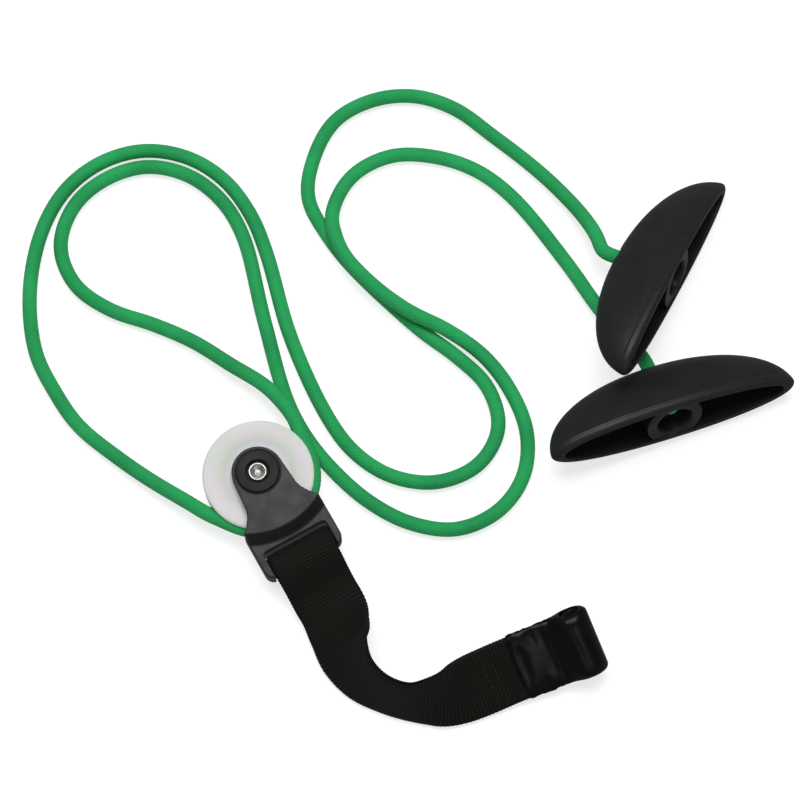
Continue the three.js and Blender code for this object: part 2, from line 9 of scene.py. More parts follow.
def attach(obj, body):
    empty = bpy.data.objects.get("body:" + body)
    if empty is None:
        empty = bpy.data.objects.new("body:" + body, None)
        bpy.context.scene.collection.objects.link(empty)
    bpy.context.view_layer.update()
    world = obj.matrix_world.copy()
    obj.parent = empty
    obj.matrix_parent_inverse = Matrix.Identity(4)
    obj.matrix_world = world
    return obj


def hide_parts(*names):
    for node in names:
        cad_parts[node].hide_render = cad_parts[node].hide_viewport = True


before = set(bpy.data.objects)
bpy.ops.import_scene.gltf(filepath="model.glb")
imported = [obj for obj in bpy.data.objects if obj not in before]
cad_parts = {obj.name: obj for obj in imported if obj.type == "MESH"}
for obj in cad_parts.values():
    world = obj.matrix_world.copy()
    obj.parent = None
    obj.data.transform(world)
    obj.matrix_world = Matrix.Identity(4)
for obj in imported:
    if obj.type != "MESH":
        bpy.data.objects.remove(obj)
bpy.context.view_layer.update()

MM = 0.001
TAU = 2 * math.pi

# ---------------- driving dimensions
# Millimetres and degrees. Places are in the layout's axes, and LAYOUT_CENTRE is its point over
# the frame's origin.
LAYOUT_CENTRE = (-0.7, 2.855)
CAMERA = {"at": (-48.815, -303.052, 1153.514), "target": (-48.815, 27.713, 0), "lens": 112}
GAP = 0.3  # between pieces that touch

# pulley block, in axes with X from the axle to the strap and Z along the axle
PULLEY_AT = (-115.6, -13.6, -60.4)  # the axle's x and y, and the heading of X
HALF_HEIGHT = 11.7  # of the axle's middle above the surface
CHEEK_OUTER = 10.5  # from the middle plane to a cheek's outer face
BOSS_GROOVE = {"radius": 10.5, "depth": 0.5, "width": 0.32}  # pressed in round each boss
WHEEL_OUTER = 26.4
WHEEL_BORE = 4.3
GROOVE_RADIUS = 3.9
BAR_X = 41.9
BAR_RADIUS = 4.6

# rope
ROPE_DIAMETER = 7.0
ROPE_PITCH_RADIUS = 26.2  # its centre line in the wheel's groove
BRAID_CARRIERS = 16
BRAID_LAY = 1.9
BRAID_SINK = 0.16  # of the surface between two yarns below the rope's radius
WRAP = (-54.1, 84.9)  # where the rope meets the wheel and leaves it, about the axle
KNOT_TO = 23.3  # height of the knot's top above the handle's rim
NECK_END = 35.5  # height at which the rope is clear of the handle
ROPE_REST = 3.62  # lowest height of its centre line
KNOT = {"radius": 3.1, "scale": 1.66, "middle": 16.0, "swing": 3.7, "overlap": 0.3}
TAIL_RADIUS = 3.0

# strap, in axes with X along its run, Y across the web and Z off its face
WEB_WIDTH = 32.0
WEB_THICKNESS = 1.4
WEB_PITCH = {"rib": 1.6, "warp": 0.9}  # from one rib or yarn to the next
WEB_CLOSING = {"bar": 20, "tube": 13}  # distance in which the two plies come together
WEB_RIB = {"edge": (0.25, 0.22), "face": (0.13, 0.12)}  # sunk between ribs, and their height
WEB_LEAD = {"bar": (0, 5, 11), "dip": 1.2, "tube": (38, 24, 12)}  # straight at both ends
WEB_GATHER = {"by": 1.6, "near": 14, "over": 18}  # narrower on each side near the tube
PLY_OFFSET = WEB_THICKNESS / 2 + GAP / 2  # from the strap's middle surface to a ply's
SPAN_FRAMES = 24  # frames from one point of the strap's line to the next
SEAM_FRAMES = 48  # back from the tube, where the web's two ends meet
STITCHES = {"count": 9, "pitch": 3.1, "half": 1.05, "radius": 0.3}
STITCH_ROWS = (("1", 80), ("2", 88))  # frames back from the tube
TUBE_AT = (35.7, -93.1, 16.4)
TUBE_TURN = {"heading": 21, "pitch": 8.4, "roll": 30}
TUBE = {"outer": 5.0, "inner": 3.7, "half": 15.2}

# sleeve, with the tube's axis at x = 0
SLEEVE_START = -32.7  # its mouth
SLEEVE_MIDDLE = -1.9  # the middle of its bulge
SLEEVE_RADIUS = 9.1  # of the bulge
SLEEVE_MOUTH = 2.55  # half its thickness on the flat of the web
SLEEVE_WIDTH = 16.6  # half its width
SLEEVE_CLOSING = {"from": -1.5, "over": 10.0}  # the bulge's fall to the flat
SLEEVE_LIP = {"height": 0.4, "back": 1.2, "width": 1.3}  # a swollen rim at its mouth
SLEEVE_LINING = ((1.7, 0.75), (-1.3, 0.75), (0.3, 0.7), (0.0, 0.35))  # past the mouth, inset
SLEEVE_TAPER = 2.4  # narrower on each side at its far end
SLEEVE_HOLE = {"radius": 4.7, "half": 20.0}
FLAT_OF_WEB = {"from": 8.0, "over": 6.0, "mouth": 3.0}  # where the sleeve wrinkles most
SWELL = {"all": 0.3, "flat": 0.6, "along": 7.5, "across": 9.0}
FOLD = {"flat": 0.32, "along": 3.0, "across": 14.0}
PUCKER = {"all": 0.12, "flat": 1.0, "along": 3.4, "across": 40.0, "edge": 12.0, "over": 4.0}

# handles: x, y, z, heading, pitch and roll, in axes with X along it and the crown at +Z
HANDLES = {
    "upper": (84.6, 81.4, 23.5, 62.5, 16, -101),
    "lower": (81.7, 11.3, 18.4, 18.8, 5.5, -107.2),
}
HANDLE = {"a": 62.5, "b": 15.0, "c": 32.4, "power": 2.1}  # half length, half width, depth
CAVITY = {"a": 56.2, "b": 11.6, "c": 29.2}
RIM = {"round_z": 2.6, "round_k": 0.62, "lip_k": 0.9, "lip_z": 0.5}
BEAD = {"height": 0.4, "above": 1.0, "width": 0.55}  # along the rim's sides
BOSS = {"x": 13.9, "y": 14.4, "flare": 0.14, "inset": 1.4}

# a softened piece's voxel and smoothing passes
SOFT_FORK = (0.3, 16)
SOFT_SLEEVE = (0.3, 22)

# floor and wall, in metres
FLOOR = {"half": 3, "below": 0.0002}
WALL = {"radius": 2.9, "sides": 64, "bottom": -0.001, "top": 4.0}

# The strap's middle line: x, y, lift off the surface and roll about its run.
STRAP_ROUTE = [
    (-84.1, -69.2, 4.4, 2), (-79.5, -77.3, 1.6, 10), (-76.5, -87.6, 0.4, 30),
    (-74, -98.9, 0.4, 47), (-67.6, -109.4, 0.4, 60), (-57.4, -117, 0.4, 70),
    (-45.5, -121, 0.4, 71), (-34, -120.3, 0.4, 59), (-22.3, -116.4, 0.4, 37),
    (-11.6, -111.7, 0.5, 29),
]
# The rope's line from the upper handle to the wheel, and from the wheel to the lower handle.
UPPER_RUN = [
    (47.1, 105.9, 13.4), (40.4, 118.8, 9.4), (27, 136, 5.4), (14, 149, 3.8), (-3, 163, 3.6),
    (-21, 177, 3.6), (-41, 184, 3.6), (-62, 182, 3.6), (-81, 171, 3.6), (-91.5, 151, 3.6),
    (-94, 130, 3.6), (-84, 110, 3.6), (-71, 93, 3.6), (-39, 62, 3.6), (-21.5, 48.5, 3.6),
    (-6.8, 33.4, 3.6), (-1.6, 13, 3.6), (-11, -5, 3.6), (-31, -14, 3.6), (-53, -11, 3.6),
    (-71, 1, 3.6), (-84, 19, 3.6), (-102, 59, 3.6), (-114, 101, 3.6), (-122, 121, 3.6),
    (-135, 139, 3.6), (-153, 151, 3.6), (-175, 155, 3.6), (-196, 149, 3.6), (-213, 135, 3.6),
    (-224, 114, 3.6), (-229, 83, 3.6), (-225, 51, 3.6), (-215, 31, 3.6), (-203, 14, 3.6),
    (-185, -1, 4.2), (-167, -14, 6.6), (-148, -26, 10),
]
LOWER_RUN = [
    (-98.5, 14, 11.8), (-111.5, 30, 11.4), (-130, 43, 7.8), (-149, 56, 4.2), (-169, 65, 3.6),
    (-189, 72, 3.6), (-207, 85, 3.6), (-215, 105, 3.6), (-209, 126, 3.6), (-194, 140, 3.6),
    (-174, 146.5, 3.6), (-153.5, 142, 3.6), (-136.8, 129, 3.6), (-125.8, 110.4, 3.6),
    (-115, 68, 3.6), (-103, 26, 3.6), (-93, 7, 3.6), (-79, -10, 3.6), (-63, -24, 3.6),
    (-44, -34, 3.6), (-22, -37, 3.6), (-2, -28, 3.6), (10, -11, 3.6), (12, 10, 3.6),
    (4.8, 30.5, 3.6), (-8.2, 48.2, 4.8), (-26, 60.3, 8.6), (-45, 69.5, 10.9),
    (-62, 82.5, 11.1), (-76, 98, 11.1), (-81, 110.5, 10.4), (-82, 121, 7.8), (-73, 141, 3.6),
    (-54, 152, 3.6), (-33, 152, 3.6), (-12, 145, 3.6), (6, 131, 3.6), (32, 97, 3.8),
    (48, 72, 5.2), (60, 56, 7.4),
]

scene = bpy.context.scene


# ---------------- places
def place(x, y, z):
    """A point of the layout, in mm, in the frame's metres."""
    return Vector(((x - LAYOUT_CENTRE[0]) * MM, (y - LAYOUT_CENTRE[1]) * MM, z * MM))


def in_metres(points):
    """An array of the layout's points, in mm, in the frame's metres."""
    return (points - np.array([*LAYOUT_CENTRE, 0])) * MM


def local_mm(point):
    """A point of the frame, in metres, in the layout's own millimetres."""
    return (point.x / MM + LAYOUT_CENTRE[0], point.y / MM + LAYOUT_CENTRE[1], point.z / MM)


def handle_matrix(name):
    x, y, z, heading, pitch, roll = HANDLES[name]
    turn = Euler([math.radians(a) for a in (roll, pitch, heading)], "XYZ").to_matrix()
    return Matrix.Translation(place(x, y, z)) @ turn.to_4x4()


PULLEY = (
    Matrix.Translation(place(PULLEY_AT[0], PULLEY_AT[1], HALF_HEIGHT))
    @ Matrix.Rotation(math.radians(PULLEY_AT[2]), 4, "Z")
)


def pulley_point(x, y, z=0.0):
    return PULLEY @ Vector((x * MM, y * MM, z * MM))


# ---------------- camera
camera = bpy.data.objects.new("camera", bpy.data.cameras.new("camera"))
camera.data.lens = CAMERA["lens"]
camera.data.sensor_width = 36
camera.data.clip_start = 0.01
camera.data.clip_end = 20
camera.location = place(*CAMERA["at"])
look = place(*CAMERA["target"]) - camera.location
camera.rotation_euler = look.to_track_quat("-Z", "Y").to_euler()
scene.collection.objects.link(camera)
scene.camera = camera
scene.view_settings.view_transform = "Standard"


# ---------------- mesh helpers
def link(name, mesh, smooth=True):
    """A new object in the scene."""
    obj = bpy.data.objects.new(name, mesh)
    scene.collection.objects.link(obj)
    if smooth:
        mesh.polygons.foreach_set("use_smooth", [True] * len(mesh.polygons))
    return obj


def mesh_from(name, points, faces):
    mesh = bpy.data.meshes.new(name)
    mesh.from_pydata([tuple(p) for p in points], [], [tuple(f) for f in faces])
    mesh.update()
    return mesh


def grid_faces(rows, columns, close_rows=False):
    """The quads of rows of points, each row a closed ring."""
    faces = []
    for i in range(rows if close_rows else rows - 1):
        k = (i + 1) % rows
        for j in range(columns):
            n = (j + 1) % columns
            faces.append((i * columns + j, i * columns + n, k * columns + n, k * columns + j))
    return faces


def capped_faces(rows, columns):
    """The faces of a tube of rings, with a fan at each end round one of two added points."""
    faces = grid_faces(rows, columns)
    first, last = rows * columns, rows * columns + 1
    for j in range(columns):
        n = (j + 1) % columns
        faces.append((first, n, j))
        faces.append((last, (rows - 1) * columns + j, (rows - 1) * columns + n))
    return faces


def lathe(name, outline, sides, matrix=None, closed=True):
    """A solid of revolution about Z, in metres, from a loop of (radius, z) in mm."""
    points = []
    for r, z in outline:
        for j in range(sides):
            a = TAU * j / sides
            points.append((r * math.cos(a) * MM, r * math.sin(a) * MM, z * MM))
    mesh = mesh_from(name, points, grid_faces(len(outline), sides, close_rows=closed))
    if matrix is not None:
        mesh.transform(matrix)
    fix_normals(mesh)
    return mesh


def fix_normals(mesh, merge=True):
    """Turn the faces outwards, after the points that coincide are merged."""
    bm = bmesh.new()
    bm.from_mesh(mesh)
    if merge:
        bmesh.ops.remove_doubles(bm, verts=bm.verts, dist=1e-7)
    bmesh.ops.recalc_face_normals(bm, faces=bm.faces)
    bm.to_mesh(mesh)
    bm.free()
    mesh.update()


def closed_loft(name, rings, around):
    """Rings joined into one skin, its first and last rings closed by a point."""
    points = [p for ring in rings for p in ring]
    faces = grid_faces(len(rings), around)
    for ring, flip in ((0, True), (len(rings) - 1, False)):
        points.append(np.mean(np.array(rings[ring]), axis=0))
        hub = len(points) - 1
        for j in range(around):
            n = (j + 1) % around
            face = (hub, ring * around + j, ring * around + n)
            faces.append(face[::-1] if flip else face)
    mesh = mesh_from(name, [tuple(float(c) * MM for c in p) for p in points], faces)
    fix_normals(mesh)
    return mesh


def signed_power(value, power):
    return math.copysign(abs(value) ** power, value)


def rounded(outline, radius, steps):
    """A closed loop of (r, z) whose corners are rounded by up to radius."""
    result = []
    count = len(outline)
    for i in range(count):
        before, at, after = (Vector(outline[(i + k) % count]) for k in (-1, 0, 1))
        a, b = before - at, after - at
        reach = min(radius, a.length * 0.45, b.length * 0.45)
        start, end = at + a.normalized() * reach, at + b.normalized() * reach
        for k in range(steps + 1):
            t = k / steps
            point = start * (1 - t) ** 2 + at * 2 * t * (1 - t) + end * t * t
            result.append((point.x, point.y))
    return result


def baked(obj, name):
    """A new mesh of obj with its modifiers applied; obj itself is removed."""
    bpy.context.view_layer.update()
    depsgraph = bpy.context.evaluated_depsgraph_get()
    mesh = bpy.data.meshes.new_from_object(obj.evaluated_get(depsgraph))
    mesh.name = name
    bpy.data.objects.remove(obj)
    return mesh


def boolean(mesh, other, operation):
    """A new mesh of two closed ones, both of which are used up."""
    a = link("boolean_a", mesh, smooth=False)
    b = link("boolean_b", other, smooth=False)
    modifier = a.modifiers.new("cut", "BOOLEAN")
    modifier.operation = operation
    modifier.solver = "EXACT"
    modifier.object = b
    result = baked(a, mesh.name)
    bpy.data.objects.remove(b)
    return result


def softened_solid(mesh, name, voxel, passes):
    """A finer mesh of a closed one, with its edges rounded off."""
    obj = link(name, mesh, smooth=False)
    remesh = obj.modifiers.new("remesh", "REMESH")
    remesh.mode = "VOXEL"
    remesh.voxel_size = voxel * MM
    smooth = obj.modifiers.new("smooth", "SMOOTH")
    smooth.factor = 0.5
    smooth.iterations = passes
    return baked(obj, name)


def sharp_by_angle(obj, degrees):
    obj.data.set_sharp_from_angle(angle=math.radians(degrees))


# ---------------- spline helpers
def between(t, start, end, a, b):
    """The blend of a and b at t, which is a at start and b at end."""
    return (end - t) / (end - start) * a + (t - start) / (end - start) * b


def catmull(points, per_span):
    """Dense samples of the centripetal spline through points."""
    p = [np.array(q, float) for q in points]
    p = [2 * p[0] - p[1]] + p + [2 * p[-1] - p[-2]]
    out = []
    for i in range(1, len(p) - 2):
        knots = [0.0]
        for a, b in ((p[i - 1], p[i]), (p[i], p[i + 1]), (p[i + 1], p[i + 2])):
            knots.append(knots[-1] + max(np.linalg.norm(b - a), 1e-9) ** 0.5)
        t0, t1, t2, t3 = knots
        for k in range(per_span):
            t = t1 + (t2 - t1) * k / per_span
            a1 = between(t, t0, t1, p[i - 1], p[i])
            a2 = between(t, t1, t2, p[i], p[i + 1])
            a3 = between(t, t2, t3, p[i + 1], p[i + 2])
            b1, b2 = between(t, t0, t2, a1, a2), between(t, t1, t3, a2, a3)
            out.append(between(t, t1, t2, b1, b2))
    out.append(p[-2])
    return np.array(out)


def distances(line):
    """How far along a line each of its points is."""
    return np.r_[0, np.cumsum(np.linalg.norm(np.diff(line, axis=0), axis=1))]


def respaced(line, step):
    """Samples of a line spaced evenly by about step, and their distances along it."""
    lengths = distances(line)
    count = max(2, int(round(lengths[-1] / step)) + 1)
    at = np.linspace(0, lengths[-1], count)
    return np.stack([np.interp(at, lengths, line[:, k]) for k in range(3)], 1), at


def softened(line, width):
    """Evenly spaced samples smoothed over a few neighbours, with their ends kept."""
    kernel = np.exp(-0.5 * (np.arange(-3 * width, 3 * width + 1) / width) ** 2)
    kernel /= kernel.sum()
    pad = 3 * width
    start = 2 * line[0] - line[pad:0:-1]
    end = 2 * line[-1] - line[-2 : -pad - 2 : -1]
    extended = np.vstack([start, line, end])
    return np.stack([np.convolve(extended[:, k], kernel, "valid") for k in range(3)], 1)


def transported(line):
    """A normal and a side that turn as little as they can along a line."""
    tangents = np.gradient(line, axis=0)
    tangents /= np.linalg.norm(tangents, axis=1)[:, None]
    normal = np.array([0.0, 0.0, 1.0])
    normals = []
    for tangent in tangents:
        normal = normal - tangent * normal.dot(tangent)
        normal /= np.linalg.norm(normal)
        normals.append(normal)
    normals = np.array(normals)
    return normals, np.cross(tangents, normals)


# ---------------- rope
def braid_height(u, v):
    """Height, 0 to 1, of a plain braid at u turns round and v millimetres along."""
    a = BRAID_CARRIERS * u + v / BRAID_LAY
    b = BRAID_CARRIERS * u - v / BRAID_LAY
    fa, fb = a - np.floor(a), b - np.floor(b)
    over = (np.floor(a) + np.floor(b)) % 2 < 0.5
    across = np.where(over, fa, fb)
    along = np.where(over, fb, fa)
    return (np.sin(np.pi * across) ** 0.7) * (0.35 + 0.65 * np.sin(np.pi * along))


def rope_mesh(name, line, sides=64, step=0.45, braid=0.2, radius=ROPE_DIAMETER / 2):
    """A braided tube round a line in mm, its UVs turns round and metres along, and the line."""
    line, along = respaced(line, step)
    normals, sides_at = transported(line)
    turn = np.arange(sides) / sides
    angle = TAU * turn
    height = braid_height(turn[None, :], along[:, None])
    r = radius - BRAID_SINK + braid * height
    tip, blunt = 1.2, 0.55
    taper = np.clip(np.minimum(along, along[-1] - along) / tip, 0.0, 1.0)
    r = r * (blunt + (1 - blunt) * np.sqrt(1 - (1 - taper) ** 2))[:, None]
    ring = (
        line[:, None, :]
        + r[:, :, None] * np.cos(angle)[None, :, None] * normals[:, None, :]
        + r[:, :, None] * np.sin(angle)[None, :, None] * sides_at[:, None, :]
    )
    rows = len(line)
    points = np.vstack([ring.reshape(-1, 3), line[:1], line[-1:]])
    faces = capped_faces(rows, sides)
    first = rows * sides
    mesh = mesh_from(name, in_metres(points), faces)
    uv = mesh.uv_layers.new(name="braid")
    values = []
    for face in faces:
        wraps = any(vertex % sides == sides - 1 and vertex < first for vertex in face)
        for vertex in face:
            i, j = divmod(vertex, sides)
            if vertex >= first:
                i, j = 0 if vertex == first else rows - 1, face[1] % sides
            values.append((1.0 if wraps and j == 0 else j / sides, along[i] * MM))
    uv.data.foreach_set("uv", np.array(values, np.float32).ravel())
    fix_normals(mesh, merge=False)
    return mesh, line


def on_wheel(angle):
    """The rope's centre line in the groove, at an angle about the axle."""
    a = math.radians(angle)
    return pulley_point(ROPE_PITCH_RADIUS * math.cos(a), ROPE_PITCH_RADIUS * math.sin(a))


def beside_wheel(angle, ahead):
    """The point on the rope's straight run, ahead of where it meets the wheel."""
    a = math.radians(angle)
    direction = PULLEY.to_3x3() @ Vector((-math.sin(a), math.cos(a), 0))
    return on_wheel(angle) + direction * ahead * MM


def crown_points(name, heights):
    """Points on a handle's own axis, at heights above its rim."""
    matrix = handle_matrix(name)
    return [local_mm(matrix @ Vector((0, 0, h * MM))) for h in heights]


neck_heights = [KNOT_TO - 1.5, 28, 32, NECK_END, NECK_END + 4]
rope_points = (
    crown_points("upper", neck_heights)
    + UPPER_RUN
    + [local_mm(beside_wheel(WRAP[0], -15)), local_mm(beside_wheel(WRAP[0], -6))]
    + [local_mm(on_wheel(a)) for a in np.linspace(WRAP[0], WRAP[1], 14)]
    + [local_mm(beside_wheel(WRAP[1], 6)), local_mm(beside_wheel(WRAP[1], 12))]
    + LOWER_RUN
    + crown_points("lower", neck_heights[::-1])
)
rope_line, _ = respaced(catmull(rope_points, 24), 0.5)
rope_line = softened(rope_line, 6)
rope_line[:, 2] = np.maximum(rope_line[:, 2], ROPE_REST)
mesh, rope_path = rope_mesh("rope", rope_line)
rope = link("rope", mesh)
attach(rope, "pulley_block")
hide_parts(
    "rope_upper_run", "rope_wheel_wrap", "rope_lower_run", "upper_rope_neck",
    "lower_rope_neck",
)


# ---------------- materials
def principled(name, color, roughness, metallic=0.0, **sockets):
    """A new material, whose constant values are on its shader's own sockets."""
    material = bpy.data.materials.new(name)
    material.use_nodes = True
    shader = material.node_tree.nodes["Principled BSDF"]
    shader.inputs["Base Color"].default_value = (*color, 1)
    shader.inputs["Roughness"].default_value = roughness
    shader.inputs["Metallic"].default_value = metallic
    for key, value in sockets.items():
        shader.inputs[key.replace("_", " ")].default_value = value
    return material


class Nodes:
    """Short calls for the nodes of one material."""

    def __init__(self, material):
        self.tree = material.node_tree
        self.shader = self.tree.nodes["Principled BSDF"]

    def add(self, kind, **settings):
        node = self.tree.nodes.new(kind)
        for key, value in settings.items():
            setattr(node, key, value)
        return node

    def link(self, a, b):
        self.tree.links.new(a, b)

    def math(self, operation, a, b=0.0, c=0.0):
        node = self.add("ShaderNodeMath", operation=operation)
        for socket, value in zip(node.inputs, (a, b, c)):
            if isinstance(value, (int, float)):
                socket.default_value = value
            else:
                self.link(value, socket)
        return node.outputs[0]

    def coordinates(self):
        return self.add("ShaderNodeTexCoord").outputs["Object"]

    def uv(self, name):
        """The two coordinates of a UV map, as sockets."""
        split = self.add("ShaderNodeSeparateXYZ")
        self.link(self.add("ShaderNodeUVMap", uv_map=name).outputs[0], split.inputs[0])
        return split.outputs[0], split.outputs[1]

    def vector(self, operation, a):
        """A vector math node on a, whose other inputs the caller sets."""
        node = self.add("ShaderNodeVectorMath", operation=operation)
        self.link(a, node.inputs[0])
        return node

    def noise(self, scale, detail=3.0, roughness=0.5):
        node = self.add("ShaderNodeTexNoise")
        node.inputs["Scale"].default_value = scale
        node.inputs["Detail"].default_value = detail
        node.inputs["Roughness"].default_value = roughness
        self.link(self.coordinates(), node.inputs["Vector"])
        return node.outputs[0]

    def ramp(self, value, stops):
        node = self.add("ShaderNodeValToRGB")
        elements = node.color_ramp.elements
        while len(elements) < len(stops):
            elements.new(0.5)
        for element, (position, color) in zip(elements, stops):
            element.position = position
            element.color = (*color, 1)
        self.link(value, node.inputs[0])
        return node.outputs[0]

    def span(self, value, low, high, from_low=0.0, from_high=1.0):
        """The value's range, from_low to from_high, stretched onto low to high."""
        node = self.add("ShaderNodeMapRange")
        for socket, number in zip(
            ("From Min", "From Max", "To Min", "To Max"), (from_low, from_high, low, high)
        ):
            node.inputs[socket].default_value = number
        self.link(value, node.inputs["Value"])
        return node.outputs[0]

    def bump(self, height, distance, strength):
        node = self.add("ShaderNodeBump")
        node.inputs["Distance"].default_value = distance
        node.inputs["Strength"].default_value = strength
        self.link(height, node.inputs["Height"])
        self.link(node.outputs[0], self.shader.inputs["Normal"])

    def mix(self, factor, a, b):
        node = self.add("ShaderNodeMix", data_type="RGBA")
        self.link(factor, node.inputs[0])
        for socket, value in ((node.inputs[6], a), (node.inputs[7], b)):
            if isinstance(value, tuple):
                socket.default_value = (*value, 1)
            else:
                self.link(value, socket)
        return node.outputs[2]

    def color(self, socket):
        self.link(socket, self.shader.inputs["Base Color"])

    def rough(self, socket):
        self.link(socket, self.shader.inputs["Roughness"])


def moulded(name, dark, light, roughness, **sockets):
    """Moulded plastic: cloudy colour, uneven gloss, fine grain and a painted highlight that
    lightens its convex edges.
    """
    material = principled(name, dark, roughness, **sockets)
    n = Nodes(material)
    cloud = n.noise(60, 4)
    fine = n.noise(2200, 2)
    n.rough(n.span(n.noise(140, 4), roughness - 0.06, roughness + 0.08, 0.3, 0.7))
    # Painted highlight: pointy, convex edges are given a lighter colour in place of the light
    # that rounded edges catch.
    edge_highlight = n.ramp(n.add("ShaderNodeNewGeometry").outputs["Pointiness"], [
        (0.5, (0, 0, 0)), (0.58, (1, 1, 1)),
    ])
    body = n.mix(n.span(cloud, 0, 1, 0.3, 0.7), dark, light)
    # The edge colour, 3.2 times the light tone, is the painted highlight.
    n.color(n.mix(n.math("MULTIPLY", edge_highlight, 0.35), body, tuple(3.2 * c for c in light)))
    n.bump(fine, 0.00004, 0.5)
    return material


def rope_material():
    """Green braid: the same yarns as braid_height's, each with its fibres and fuzz; its colour
    is darker in the grooves between yarns and lighter on their crowns, which is painted shade.
    """
    material = principled("rope_braid", (0.024, 0.33, 0.1), 0.72, Sheen_Weight=0.06,
                          Sheen_Roughness=0.5, Specular_IOR_Level=0.15)
    n = Nodes(material)
    u, v = n.uv("braid")
    turns = n.math("MULTIPLY", u, BRAID_CARRIERS)
    along = n.math("MULTIPLY", v, 1 / (BRAID_LAY * MM))
    a, b = n.math("ADD", turns, along), n.math("SUBTRACT", turns, along)
    parity = n.math("PINGPONG", n.math("ADD", n.math("FLOOR", a), n.math("FLOOR", b)), 1)
    fa, fb = n.math("FRACT", a), n.math("FRACT", b)

    def choose(x, y):
        kept = n.math("MULTIPLY", n.math("SUBTRACT", 1.0, parity), x)
        return n.math("ADD", kept, n.math("MULTIPLY", parity, y))

    across, length = choose(fa, fb), choose(fb, fa)
    crown = n.math("SINE", n.math("MULTIPLY", across, math.pi))
    yarns = n.math("SINE", n.math("MULTIPLY", across, 4 * TAU))
    ends = n.math("SINE", n.math("MULTIPLY", length, math.pi))
    height = n.math("MULTIPLY", n.math("POWER", crown, 0.7), n.span(ends, 0.35, 1.0))
    fuzz = n.noise(3500, 3, 0.7)
    # Painted shade: the ramp darkens the low ground between yarns and lightens their crowns,
    # with random fuzz over it.
    groove_shade_and_fuzz = n.math("ADD", n.math("MULTIPLY", height, 0.6), n.math("MULTIPLY", fuzz, 0.6))
    color = n.ramp(groove_shade_and_fuzz, [
        (0.05, (0.0075, 0.187, 0.05)), (0.45, (0.013, 0.29, 0.079)),
        (0.78, (0.0185, 0.355, 0.103)), (1.0, (0.032, 0.42, 0.135)),
    ])
    tone = n.span(n.noise(45, 3), 0.86, 1.12, 0.3, 0.7)
    scaled = n.vector("SCALE", color)
    n.link(tone, scaled.inputs["Scale"])
    n.color(scaled.outputs[0])
    total = n.math("ADD", height, n.math("MULTIPLY", yarns, 0.12))
    n.bump(n.math("ADD", total, n.math("MULTIPLY", fuzz, 0.35)), 0.00012, 0.6)
    return material


def from_axle(n):
    """Distance from the wheel's axle, in metres, as a socket."""
    shift = n.vector("SUBTRACT", n.coordinates())
    shift.inputs[1].default_value = tuple(PULLEY.translation)
    split = n.add("ShaderNodeSeparateXYZ")
    n.link(shift.outputs[0], split.inputs[0])
    squares = [n.math("POWER", split.outputs[k], 2.0) for k in (0, 1)]
    return n.math("SQRT", n.math("ADD", *squares))


def wheel_material():
    """Milky nylon: lilac and green-grey tints over a warm white, its own colour, with painted
    shading in rings round the axle: a darker band part way out and a lighter edge at the rim.
    """
    material = principled(
        "wheel_nylon", (0.8, 0.79, 0.8), 0.32, Subsurface_Weight=0.5,
        Subsurface_Radius=(0.004, 0.0038, 0.0036), Subsurface_Scale=1.0,
        Specular_IOR_Level=0.25,
    )
    n = Nodes(material)
    # Partly the nylon's own tints and partly painted shading: the darker green-grey band part
    # way out is painted shade, the light stop at the rim painted light.
    rings = n.ramp(n.span(from_axle(n), 0, 1, 0.008, WHEEL_OUTER * MM), [
        (0.0, (0.57, 0.53, 0.62)), (0.3, (0.61, 0.58, 0.65)), (0.45, (0.49, 0.55, 0.5)),
        (0.62, (0.61, 0.6, 0.57)), (0.8, (0.64, 0.61, 0.65)), (0.95, (0.59, 0.62, 0.56)),
        (1.0, (0.7, 0.7, 0.7)),
    ])
    tint = n.ramp(n.noise(32, 1), [(0.35, (0.92, 0.97, 0.92)), (0.65, (1.0, 0.97, 1.0))])
    mixed = n.vector("MULTIPLY", rings)
    n.link(tint, mixed.inputs[1])
    n.color(mixed.outputs[0])
    n.rough(n.span(n.noise(300, 3), 0.26, 0.38, 0.3, 0.7))
    n.bump(n.noise(900, 3), 0.00002, 0.4)
    return material


def metal(name, color, roughness):
    """Formed metal: patchy tone and gloss, and small dents."""
    material = principled(name, color, roughness, 1.0)
    n = Nodes(material)
    n.rough(n.span(n.noise(900, 4), roughness - 0.08, roughness + 0.12, 0.3, 0.7))
    patches = n.span(n.noise(250, 4), 0, 1, 0.35, 0.7)
    n.color(n.mix(patches, color, tuple(0.75 * c for c in color)))
    dents = n.math("ADD", n.noise(1500, 3), n.math("MULTIPLY", n.noise(420, 2), 3.0))
    n.bump(dents, 0.00005, 0.7)
    return material


